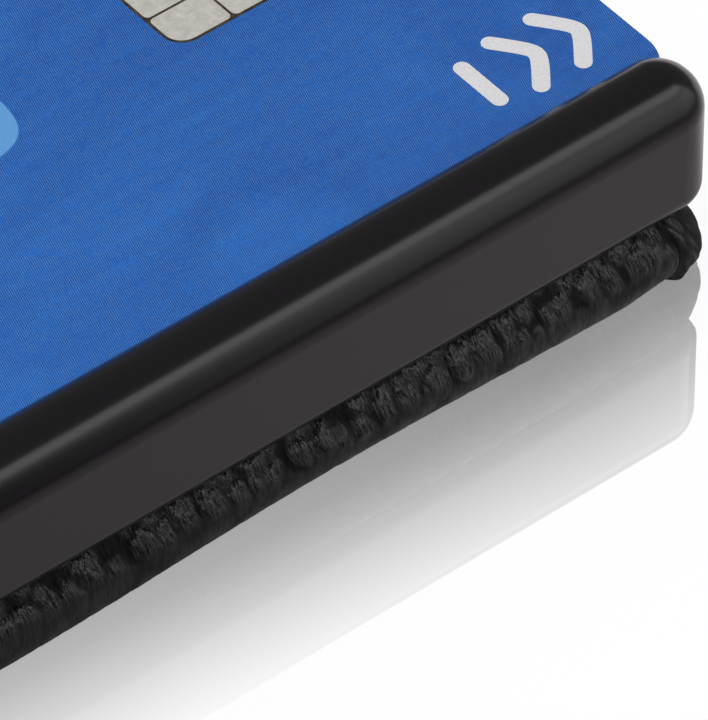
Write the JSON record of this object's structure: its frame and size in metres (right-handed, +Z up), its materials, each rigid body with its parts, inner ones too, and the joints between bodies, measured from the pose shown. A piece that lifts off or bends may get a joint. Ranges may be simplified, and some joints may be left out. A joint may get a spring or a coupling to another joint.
{
  "type": "minimalist bifold card wallet",
  "caption": "Open bifold card wallet: black card cage with two rounded rails over a payment card, on a padded leather cover, with a folding spine and a front cover with a note pocket.",
  "frame": {"origin": "on the surface the open wallet lies on, under the middle of the spine, which is the middle of the open wallet's length and width", "axes": "+X runs from the spine to the free end of the half with the card cage and is the longest extent; +Y runs across from the near rail to the far rail; +Z is up, out of the card's face, and is the shortest extent"},
  "size_m": [0.1944, 0.0622, 0.014],
  "materials": {
    "leather": "pebbled grain, semi-matt",
    "foam": "closed-cell foam",
    "board": "pressed fibre board",
    "lining": "fine woven lining",
    "pocket_leather": "smooth fine-grain leather",
    "cage_plastic": "moulded, finely textured",
    "rail_plastic": "satin moulded plastic",
    "screw_steel": "zinc plated",
    "rivet_steel": "nickel plated",
    "spring_steel": "rolled spring strip",
    "plate_plastic": "moulded, satin",
    "card_plastic": "laminated card, silk finish",
    "chip_metal": "worn plated contacts"
  },
  "bodies": {
    "back_half": {"back_cover_leather": "leather", "back_cover_foam": "foam", "back_cover_board": "board", "back_cover_lining": "lining", "card_tray": "cage_plastic", "near_rail": "rail_plastic", "far_rail": "rail_plastic", "rail_screws": "screw_steel", "tray_rivets": "rivet_steel", "spring_rivets": "rivet_steel", "near_lift_spring": "spring_steel", "far_lift_spring": "spring_steel"},
    "lifter": {"pressure_plate": "plate_plastic"},
    "card": {"payment_card": "card_plastic", "card_chip": "chip_metal"},
    "spine": {"spine_leather": "leather", "spine_board": "board", "spine_lining": "lining"},
    "front_half": {"front_cover_leather": "leather", "front_cover_foam": "foam", "front_cover_board": "board", "front_cover_lining": "lining", "note_pocket": "pocket_leather"}
  },
  "joints": [
    {"name": "spine_fold", "type": "hinge", "parent": "back_half", "child": "spine", "pos_m": [0.0079, 0, 0.0024], "axis": [0, 1, 0], "range_deg": [0, 90]},
    {"name": "cover_fold", "type": "hinge", "parent": "spine", "child": "front_half", "pos_m": [-0.0079, 0, 0.0024], "axis": [0, 1, 0], "range_deg": [0, 90]},
    {"name": "card_slide", "type": "slide", "parent": "back_half", "child": "card", "axis": [1, 0, 0], "range_m": [0, 0.088]},
    {"name": "plate_travel", "type": "slide", "parent": "back_half", "child": "lifter", "axis": [0, 0, -1], "range_m": [0, 0.0036], "stiffness_N_per_m": 450, "springref_m": -0.0035, "deforming": ["near_lift_spring", "far_lift_spring"]}
  ]
}
